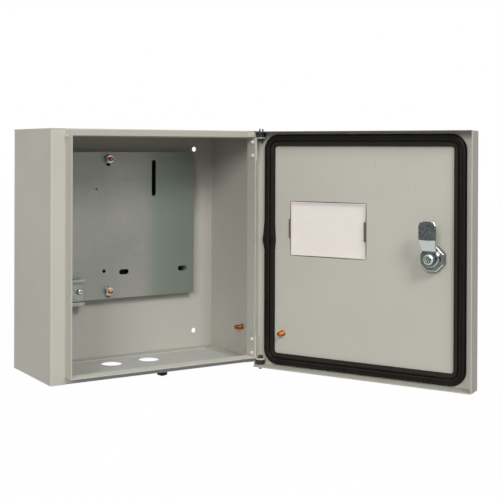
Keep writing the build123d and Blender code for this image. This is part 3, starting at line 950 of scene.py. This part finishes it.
@dataclass(frozen=True)
class Bead:
    """A tube of changing width along a line, for weld beads and the dark bead of painted shadow round the
    window.
    """

    points: tuple[Vector, ...]
    radius: float
    wobble: float = 0.0
    ripples: tuple[float, float] = (2.3, 1.1)
    blunt: float = 0.6
    around: int = 12

    def add_to(self, mesh: bmesh.types.BMesh) -> None:
        """Adds the bead to a mesh.

        Args:
            mesh: The mesh that gets the bead.
        """
        angles = [2 * math.pi * i / self.around for i in range(self.around)]
        side = None
        rings = []
        for k, point in enumerate(self.points):
            ahead = (self.points[min(k + 1, len(self.points) - 1)] - self.points[max(k - 1, 0)]).normalized()
            side = (ahead.orthogonal() if side is None else side - ahead * side.dot(ahead)).normalized()
            over = ahead.cross(side)
            width = self.radius * self._width(k)
            rings.append([
                mesh.verts.new(point + (side * math.cos(a) + over * math.sin(a)) * width)
                for a in angles
            ])
        skin(mesh, rings)
        mesh.faces.new(rings[0][::-1])
        mesh.faces.new(rings[-1])

    def _width(self, step: int) -> float:
        """Width at a step, smaller at the ends and uneven along the line.

        Args:
            step: Which of the points.

        Returns:
            Share of the radius.
        """
        share = (step + self.blunt) / (len(self.points) - 1 + 2 * self.blunt)
        ripple = math.sin(self.ripples[0] * step) * math.cos(self.ripples[1] * step)
        return math.sin(math.pi * share) ** 0.5 * (1 + self.wobble * ripple)


@dataclass(frozen=True)
class PanScrew:
    """A pan-head screw with a cross recess, which stands for a plain CAD screw."""

    start: Vector
    direction: Vector
    radius: float
    height: float
    shank_radius: float
    shank_length: float
    crown: float = 0.12
    shoulder: float = 0.5
    turn: float = 0.3
    slot_half: float = 0.15
    slot_reach: float = 0.62
    slot_depth: float = 0.5
    around: int = 56
    rings: int = 18

    def top(self, share: float, angle: float) -> float:
        """Height of the head.

        Args:
            share: Distance from the middle as a share of the radius.
            angle: Angle round the axis.

        Returns:
            The height there.
        """
        dome = self.height * (1 - self.crown * share ** 2 - self.shoulder * share ** 8)
        across = abs(share * math.cos(angle - self.turn))
        along = abs(share * math.sin(angle - self.turn))
        arm = max(0.0, 1 - (min(across, along) / self.slot_half) ** 4)
        arm *= max(0.0, 1 - (share / self.slot_reach) ** 6)
        return dome - self.slot_depth * self.height * arm

    def add_to(self, mesh: bmesh.types.BMesh) -> None:
        """Adds the screw to a mesh.

        Args:
            mesh: The mesh that gets the screw.
        """
        stand = stood(self.start, self.direction)
        angles = [2 * math.pi * i / self.around for i in range(self.around)]
        under = (self.shank_radius, -self.shank_length), (self.shank_radius, 0.0), (self.radius, 0.0)
        loops = [ring(mesh, stand, [place] * self.around) for place in under]
        for k in range(self.rings, 0, -1):
            share = k / self.rings
            places = [(self.radius * share, self.top(share, angle)) for angle in angles]
            loops.append(ring(mesh, stand, places))
        skin(mesh, loops)
        middle = mesh.verts.new(stand @ Vector((0, 0, self.top(0.0, 0.0))))
        for i in range(self.around):
            mesh.faces.new((loops[-1][i], loops[-1][(i + 1) % self.around], middle))
        mesh.faces.new(loops[0][::-1])


@dataclass(frozen=True)
class DoorPlace:
    """Places on the open door, by distance from the hinge axis and into the cabinet."""

    hinge: tuple[float, float] = (0.141, -0.1425)
    open_angle: float = 117.5

    def across(self) -> Vector:
        """Direction from the hinge axis to the free edge."""
        turn = math.radians(self.open_angle)
        return Vector((-math.cos(turn), -math.sin(turn), 0))

    def inward(self) -> Vector:
        """Direction of the door's inner face."""
        turn = math.radians(self.open_angle)
        return Vector((-math.sin(turn), math.cos(turn), 0))

    def point(self, out: float, depth: float, height: float) -> Vector:
        """A point on the door.

        Args:
            out: Metres from the hinge axis towards the free edge.
            depth: Metres from the hinge axis towards the inner side.
            height: Metres above the frame's origin.

        Returns:
            The point in the object's frame.
        """
        flat = self.across() * out + self.inward() * depth
        return Vector((self.hinge[0] + flat.x, self.hinge[1] + flat.y, height))


@dataclass(frozen=True)
class Gasket:
    """The sealing strip round the door, a round roll with a flat lip inside it, joined at a thick splice."""

    place: DoorPlace
    left: float = 0.003
    right: float = 0.2768
    bottom: float = -0.154
    top: float = 0.150
    corner: float = 0.020
    inner_corner: float = 0.004
    seat: float = -0.0063
    roll_width: float = 0.0086
    roll_face: float = -0.0018
    roll_edge: float = 0.0028
    roll_fall: float = 0.6
    groove_width: float = 0.0013
    groove_face: float = -0.0042
    lip_width: float = 0.0053
    lip_face: float = -0.0022
    lip_edge: float = 0.0011
    lip_chamfer: float = 0.0004
    splice_height: float = 0.011
    splice_bulge: float = 0.0028
    splice_taper: float = 1.4
    splice_above: float = 0.032
    splice_below: float = 0.016
    arc_steps: int = 6
    corner_steps: int = 14
    side_steps: int = 110

    def width(self) -> float:
        """Whole width of the strip."""
        return self.roll_width + self.groove_width + self.lip_width

    def profile(self) -> list[tuple[float, float]]:
        """Draws the strip's section.

        Returns:
            Its points, as inset and depth.
        """
        roll, edge, face = self.roll_width, self.roll_edge, self.roll_face
        fall = edge * self.roll_fall
        lip_start = roll + self.groove_width
        end, soft, lip = self.width(), self.lip_edge, self.lip_face
        quarter = [math.pi / 2 * k / self.arc_steps for k in range(self.arc_steps + 1)]
        points = [(0.0, self.seat)]
        points += [(edge - edge * math.cos(a), face - edge + edge * math.sin(a)) for a in quarter]
        points += [(roll - fall + fall * math.sin(a), face - fall * (1 - math.cos(a))) for a in quarter]
        points += [(roll, self.groove_face), (lip_start, self.groove_face)]
        points += [(lip_start, lip - self.lip_chamfer), (lip_start + self.lip_chamfer, lip)]
        points += [(end - soft + soft * math.sin(a), lip - soft * (1 - math.cos(a))) for a in quarter]
        return points + [(end, self.seat)]

    def bulge(self, height: float) -> float:
        """Share of the splice's thickening.

        Args:
            height: Metres above the frame's origin.

        Returns:
            The share, from 0 to 1.
        """
        away = height - self.splice_height
        extent = self.splice_above if away > 0 else self.splice_below
        share = max(0.0, 1 - abs(away) / extent)
        return share * share * (3 - 2 * share) if away < 0 else share ** 2

    def corner_point(self, index: int, angle: float, inset: float) -> tuple[float, float]:
        """A point on one rounded corner.

        Args:
            index: Corner, from the upper free one round over the upper hinge one.
            angle: Direction from the corner's middle.
            inset: Distance in from the strip's outer edge.

        Returns:
            Distance from the hinge axis, and height.
        """
        radius = self.corner + (self.inner_corner - self.corner) * inset / self.width()
        far, high = index in (0, 3), index in (0, 1)
        middle_out = self.right - inset - radius if far else self.left + inset + radius
        middle_up = self.top - inset - radius if high else self.bottom + inset + radius
        return middle_out + radius * math.cos(angle), middle_up + radius * math.sin(angle)

    def station(self, index: int, step: int, inset: float) -> tuple[float, float]:
        """A point along the strip.

        Args:
            index: Corner that the stretch starts with.
            step: Step within the corner and the straight side after it.
            inset: Distance in from the strip's outer edge.

        Returns:
            Distance from the hinge axis, and height.
        """
        start = index * math.pi / 2
        if step <= self.corner_steps:
            return self.corner_point(index, start + math.pi / 2 * step / self.corner_steps, inset)
        share = (step - self.corner_steps) / self.side_steps
        here = self.corner_point(index, start + math.pi / 2, inset)
        there = self.corner_point((index + 1) % 4, start + math.pi / 2, inset)
        out = here[0] + (there[0] - here[0]) * share
        height = here[1] + (there[1] - here[1]) * share
        if index == 1:
            out -= self.splice_bulge * self.bulge(height) * (1 - self.splice_taper * inset / self.width())
        return out, height

    def add_to(self, mesh: bmesh.types.BMesh) -> None:
        """Adds the strip to a mesh.

        Args:
            mesh: The mesh that gets the strip.
        """
        profile = self.profile()
        loops = []
        for index in range(4):
            for step in range(self.corner_steps + self.side_steps):
                loop = []
                for inset, depth in profile:
                    out, height = self.station(index, step, inset)
                    loop.append(mesh.verts.new(self.place.point(out, depth, height)))
                loops.append(loop)
        skin(mesh, loops + loops[:1])


def place_mesh(
    name: str,
    mesh: bmesh.types.BMesh,
    material: bpy.types.Material,
    smooth: bool = True,
    sharp_angle: float = 40,
) -> bpy.types.Object:
    """Turns a worked mesh into an object of the scene.

    Args:
        name: The object's name.
        mesh: The mesh, which is freed.
        material: What it is dressed in.
        smooth: Whether its shallow edges are shaded smooth.
        sharp_angle: Degrees from which an edge is shaded sharp.

    Returns:
        The new object.
    """
    bmesh.ops.recalc_face_normals(mesh, faces=mesh.faces)
    data = bpy.data.meshes.new(name)
    mesh.to_mesh(data)
    mesh.free()
    data.materials.append(material)
    piece = bpy.data.objects.new(name, data)
    bpy.context.scene.collection.objects.link(piece)
    if smooth:
        data.shade_smooth()
        data.set_sharp_from_angle(angle=math.radians(sharp_angle))
    return piece


class Wardrobe:
    """Makes each finish once, puts it on nodes and dresses new pieces in it."""

    def __init__(self) -> None:
        """Starts with no materials."""
        self.made: dict[str, bpy.types.Material] = {}

    def material(self, finish: Finish) -> bpy.types.Material:
        """The material of a finish, made when it is first asked for.

        Args:
            finish: The finish.

        Returns:
            Its material.
        """
        if finish.name not in self.made:
            self.made[finish.name] = finish.make()
        return self.made[finish.name]

    def dress(self, finish: Finish, *nodes: str) -> None:
        """Puts a finish on CAD nodes.

        Args:
            finish: The finish.
            nodes: Names of the nodes.
        """
        for name in nodes:
            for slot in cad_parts[name].material_slots:
                slot.material = self.material(finish)
            log.info("%s wears %s", name, finish.name)

    def add_piece(
        self,
        name: str,
        body: str,
        slot: str,
        finish: Finish,
        forms: Sequence[ThreadedStud | Bead | PanScrew | Gasket],
        stands_for: str | None = None,
    ) -> None:
        """Builds one piece from its forms and joins it to the model.

        Args:
            name: The piece's name.
            body: The body that carries it.
            slot: Name of the material slot that the piece belongs to; not used.
            finish: What it is dressed in.
            forms: What it is made of.
            stands_for: The CAD node that it replaces, if any.
        """
        mesh = bmesh.new()
        for form in forms:
            form.add_to(mesh)
        piece = place_mesh(name, mesh, self.material(finish))
        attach(piece, body)
        if stands_for:
            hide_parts(stands_for)
        log.info("%s built with %d faces", name, len(piece.data.polygons))


@dataclass
class Cabinet:
    """The folded body with its end panels, corner weld and earthing studs."""

    wardrobe: Wardrobe
    earth_length: float = 0.012
    weld_corner: Vector = field(default_factory=lambda: Vector((-0.1318, -0.1256, 0.1452)))
    weld_length: float = 0.011
    weld_radius: float = 0.0011
    weld_sway: tuple[float, float] = (0.0002, 7.0)
    weld_lift: tuple[float, float] = (0.0004, 5.0)
    weld_wobble: float = 0.3
    weld_steps: int = 16

    def dress(self) -> None:
        """Dresses the cabinet."""
        self.wardrobe.dress(Paint.BODY.value, "body_wrap")
        self.wardrobe.dress(Paint.TOP.value, "top_panel")
        self.wardrobe.dress(Paint.FLOOR.value, "bottom_panel")
        # The parts under the box wear painted shade.
        self.wardrobe.dress(Metal.SHADED.value, "outer_earth_stud", "outer_earth_washer", "outer_earth_nut")
        self.add_earth_stud()
        self.add_weld()

    def add_earth_stud(self) -> None:
        """Stands a threaded stud on the right side."""
        low, high = (Vector(corner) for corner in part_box("earth_stud_wall"))
        start = Vector((high.x, (low.y + high.y) / 2, (low.z + high.z) / 2))
        stud = ThreadedStud(start, Vector((-1, 0, 0)), self.earth_length)
        name, copper = "earth_stud_wall_threaded", Metal.COPPER.value
        self.wardrobe.add_piece(name, "cabinet", "copper", copper, [stud], "earth_stud_wall")

    def add_weld(self) -> None:
        """Lays the painted-over weld at the upper left collar corner."""
        points = []
        for k in range(self.weld_steps):
            share = k / (self.weld_steps - 1)
            sway = self.weld_sway[0] * math.cos(self.weld_sway[1] * share)
            lift = self.weld_lift[0] * math.sin(self.weld_lift[1] * share)
            points.append(self.weld_corner + Vector((sway, -self.weld_length * share, lift)))
        bead = Bead(tuple(points), self.weld_radius, self.weld_wobble)
        self.wardrobe.add_piece("collar_weld", "cabinet", "paint", Paint.PLAIN.value, [bead])


@dataclass
class MountingPlate:
    """The plate with its rail and fasteners."""

    wardrobe: Wardrobe
    foot_radius: float = 0.0038
    stud_short: float = 0.0011
    screw_head: float = 0.0028
    screw_shank: float = 0.002

    def dress(self) -> None:
        """Dresses the plate and what it carries."""
        self.wardrobe.dress(Metal.SHEET.value, "mounting_plate")
        self.wardrobe.dress(Metal.RAIL.value, "din_rail")
        self.wardrobe.dress(Metal.BRIGHT.value, "plate_nuts", "plate_washers", "plate_rear_nuts")
        self.add_studs()
        self.add_rail_screws()

    def add_studs(self) -> None:
        """Stands two threaded studs on the back."""
        low, high = (Vector(corner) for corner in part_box("plate_studs"))
        middle = (low.x + high.x) / 2
        length = high.y - low.y - self.stud_short
        studs = [
            ThreadedStud(Vector((middle, high.y, height)), Vector(FRONT), length)
            for height in (low.z + self.foot_radius, high.z - self.foot_radius)
        ]
        copper = Metal.COPPER.value
        self.wardrobe.add_piece("plate_studs_threaded", "cabinet", "copper", copper, studs, "plate_studs")

    def add_rail_screws(self) -> None:
        """Drives the two cross-head screws into the rail."""
        low, high = (Vector(corner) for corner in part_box("rail_screws"))
        radius = (high.z - low.z) / 2
        length = high.y - low.y - self.screw_head
        screws = []
        for out in (low.x + radius, high.x - radius):
            start = Vector((out, low.y + self.screw_head, (low.z + high.z) / 2))
            screws.append(PanScrew(start, Vector(FRONT), radius, self.screw_head, self.screw_shank, length))
        bright = Metal.BRIGHT.value
        self.wardrobe.add_piece("rail_screws_crossed", "cabinet", "zinc", bright, screws, "rail_screws")


@dataclass
class Hinges:
    """Brackets, bushes, pins and rivets."""

    wardrobe: Wardrobe

    def dress(self) -> None:
        """Dresses both hinges."""
        self.wardrobe.dress(Paint.PLAIN.value, "hinge_bracket_upper", "hinge_bracket_lower")
        self.wardrobe.dress(Paint.RIVET.value, "bracket_rivets")
        self.wardrobe.dress(Moulded.BLACK.value, "hinge_spacer_upper", "hinge_spacer_lower")
        self.wardrobe.dress(Moulded.BLACK.value, "hinge_pin_upper", "hinge_pin_lower")


@dataclass
class Door:
    """The door with its gasket, window and earthing stud."""

    wardrobe: Wardrobe
    place: DoorPlace = field(default_factory=DoorPlace)
    inner_face: float = -0.0063
    stud_out: float = 0.030
    stud_height: float = -0.112
    stud_length: float = 0.012
    window_middle: tuple[float, float] = (0.094, 0.02695)
    window_size: tuple[float, float] = (0.1064, 0.0707)
    bead_radius: float = 0.00062
    bead_steps: int = 4

    def dress(self) -> None:
        """Dresses the door."""
        self.wardrobe.dress(Paint.DOOR.value, "door_panel")
        rubber, strip = Moulded.GASKET.value, Gasket(self.place)
        self.wardrobe.add_piece("door_gasket_rolled", "door", "rubber", rubber, [strip], "door_gasket")
        self.wardrobe.dress(Moulded.PANE.value, "window_pane")
        self.wardrobe.dress(Moulded.CATCH.value, "window_clips")
        start = self.place.point(self.stud_out, self.inner_face, self.stud_height)
        stud = ThreadedStud(start, self.place.inward(), self.stud_length)
        name, copper = "earth_stud_door_threaded", Metal.COPPER.value
        self.wardrobe.add_piece(name, "door", "copper", copper, [stud], "earth_stud_door")
        self.add_shadow_bead()

    def add_shadow_bead(self) -> None:
        """Lays the thin dark bead round the window opening, a painted shadow of the gap between pane and
        sheet.
        """
        out, middle = self.window_middle
        half_width, half_height = (size / 2 for size in self.window_size)
        corners = [
            self.place.point(out + x * half_width, self.inner_face, middle + z * half_height)
            for x, z in ((-1, -1), (1, -1), (1, 1), (-1, 1))
        ]
        sides = []
        for start, end in zip(corners, corners[1:] + corners[:1]):
            points = tuple(start.lerp(end, k / self.bead_steps) for k in range(self.bead_steps + 1))
            sides.append(Bead(points, self.bead_radius))
        self.wardrobe.add_piece("window_shadow_bead", "door", "dark_plastic", Moulded.SHADOW_LINE.value, sides)


@dataclass
class Lock:
    """The lock in the door and the latch that it turns."""

    wardrobe: Wardrobe
    place: DoorPlace = field(default_factory=DoorPlace)
    middle: tuple[float, float] = (0.2365, -0.0012)
    screw_seat: float = 0.0145
    screw_radius: float = 0.0067
    screw_height: float = 0.0032
    screw_shank: tuple[float, float] = (0.003, 0.008)

    def dress(self) -> None:
        """Dresses the lock."""
        self.wardrobe.dress(Metal.LOCK.value, "lock_housing")
        self.wardrobe.dress(Metal.CORE.value, "lock_barrel")
        self.wardrobe.dress(Metal.NUT.value, "lock_nut")
        self.wardrobe.dress(Metal.BLADE.value, "lock_cam")
        start = self.place.point(self.middle[0], self.screw_seat, self.middle[1])
        screw = PanScrew(start, self.place.inward(), self.screw_radius, self.screw_height, *self.screw_shank)
        plating = RecessedPlating(middle=tuple(start))
        self.wardrobe.add_piece("cam_screw_crossed", "latch", "zinc", plating, [screw], "cam_screw")


@dataclass
class Lamp:
    """One soft rectangular light aimed at the box."""

    name: str
    place: Vector
    power: float
    aim: Vector = field(default_factory=lambda: Vector((0.0, -0.1, 0.0)))
    width: float = 1.0
    height: float = 1.0

    def build(self) -> None:
        """Adds the light."""
        data = bpy.data.lights.new(self.name, "AREA")
        data.shape = "RECTANGLE"
        data.size = self.width
        data.size_y = self.height
        data.energy = self.power
        lamp = bpy.data.objects.new(self.name, data)
        lamp.location = self.place
        lamp.rotation_mode = "QUATERNION"
        lamp.rotation_quaternion = (self.aim - self.place).to_track_quat("-Z", "Y")
        bpy.context.scene.collection.objects.link(lamp)


@dataclass
class Studio:
    """Camera, floor, background and light."""

    eye: Vector = field(default_factory=lambda: Vector((-0.625685, -1.28509, 0.131662)))
    yaw: float = 31.083
    pitch: float = -0.302
    roll: float = 0.199
    sensor: float = 36.0
    focal_share: float = 2.069612
    centre_across: float = 0.422014
    centre_down: float = 0.307116
    clip: tuple[float, float] = (0.05, 60.0)
    floor_height: float = -0.62
    floor_radius: float = 14.0
    floor_sides: int = 96
    ambient: float = 0.42
    from_behind: float = 0.35
    in_gloss: float = 0.65
    floor_grey: float = 0.24
    floor_share: float = 0.92
    floor_white: float = 1.07
    lamps: tuple[Lamp, ...] = field(default_factory=lambda: (
        Lamp("front", Vector((-0.3, -3.15, 2.05)), 54.0),
        Lamp("left", Vector((-2.35, -2.4, 1.2)), 44.0),
        Lamp("left_fill", Vector((-2.3, 0.55, 0.1)), 1.0),
    ))

    def build(self) -> None:
        """Builds the whole studio."""
        self.add_camera()
        self.add_background()
        self.add_floor()
        for lamp in self.lamps:
            lamp.build()
        bpy.context.scene.view_settings.view_transform = "Standard"

    def add_camera(self) -> None:
        """Sets the camera where the photograph was taken from."""
        yaw, pitch, roll = (math.radians(a) for a in (self.yaw, self.pitch, self.roll))
        ahead = Vector((math.sin(yaw) * math.cos(pitch), math.cos(yaw) * math.cos(pitch), math.sin(pitch)))
        level = Vector((math.cos(yaw), -math.sin(yaw), 0))
        upward = level.cross(ahead)
        right = level * math.cos(roll) + upward * math.sin(roll)
        up = upward * math.cos(roll) - level * math.sin(roll)
        data = bpy.data.cameras.new("view")
        data.sensor_fit = "HORIZONTAL"
        data.sensor_width = self.sensor
        data.lens = self.focal_share * self.sensor
        data.shift_x = 0.5 - self.centre_across
        data.shift_y = self.centre_down - 0.5
        data.clip_start, data.clip_end = self.clip
        camera = bpy.data.objects.new("view", data)
        turned = Matrix((right, up, -ahead)).transposed().to_4x4()
        camera.matrix_world = Matrix.Translation(self.eye) @ turned
        bpy.context.scene.collection.objects.link(camera)
        bpy.context.scene.camera = camera

    def _seen_directly(self, graph: Graph) -> Wire:
        """One on rays from the camera and through clear pieces, and a share of it in gloss.

        Args:
            graph: The graph that asks.

        Returns:
            The value, held between 0 and 1.
        """
        path = graph.add("ShaderNodeLightPath")
        direct = path.out("Is Camera Ray") + path.out("Is Transmission Ray")
        return (direct + path.out("Is Glossy Ray") * self.in_gloss).held()

    def add_background(self) -> None:
        """Makes the world white to the camera and softly lit otherwise."""
        world = bpy.data.worlds.new("studio")
        world.use_nodes = True
        bpy.context.scene.world = world
        graph = Graph(world.node_tree)
        seen = self._seen_directly(graph)
        way = graph.add("ShaderNodeTexCoord").out("Generated").along(BACK)
        soft = self.ambient + self.from_behind * way.spread(0.0, 1.0)
        strength = soft + seen * (1.0 - soft)
        light = graph.add("ShaderNodeBackground", None, {"Color": (1, 1, 1, 1), "Strength": strength})
        graph.add("ShaderNodeOutputWorld", None, {"Surface": light.out()})

    def add_floor(self) -> None:
        """Lays the plain pale floor well below the box."""
        mesh = bmesh.new()
        bmesh.ops.create_circle(mesh, cap_ends=True, segments=self.floor_sides, radius=self.floor_radius)
        mesh.transform(Matrix.Translation((0, 0, self.floor_height)))
        material = bpy.data.materials.new("pale_floor")
        material.use_nodes = True
        graph = Graph(material.node_tree)
        matt = graph.add("ShaderNodeBsdfDiffuse", None, {"Color": (*[self.floor_grey] * 3, 1)}).out()
        glow = {"Color": (1, 1, 1, 1), "Strength": self.floor_white}
        white = graph.add("ShaderNodeEmission", None, glow).out()
        share = self._seen_directly(graph) * self.floor_share
        mixed = graph.add("ShaderNodeMixShader", None, {0: share, 1: matt, 2: white}).out()
        graph.add("ShaderNodeOutputMaterial", None, {"Surface": mixed})
        place_mesh("floor", mesh, material, smooth=False)


def main() -> None:
    """Builds the studio and dresses each sub-assembly in order."""
    Studio().build()
    wardrobe = Wardrobe()
    for assembly in (Cabinet, MountingPlate, Hinges, Door, Lock):
        assembly(wardrobe).dress()
        log.info("%s done", assembly.__name__)


if __name__ == "__main__":
    main()
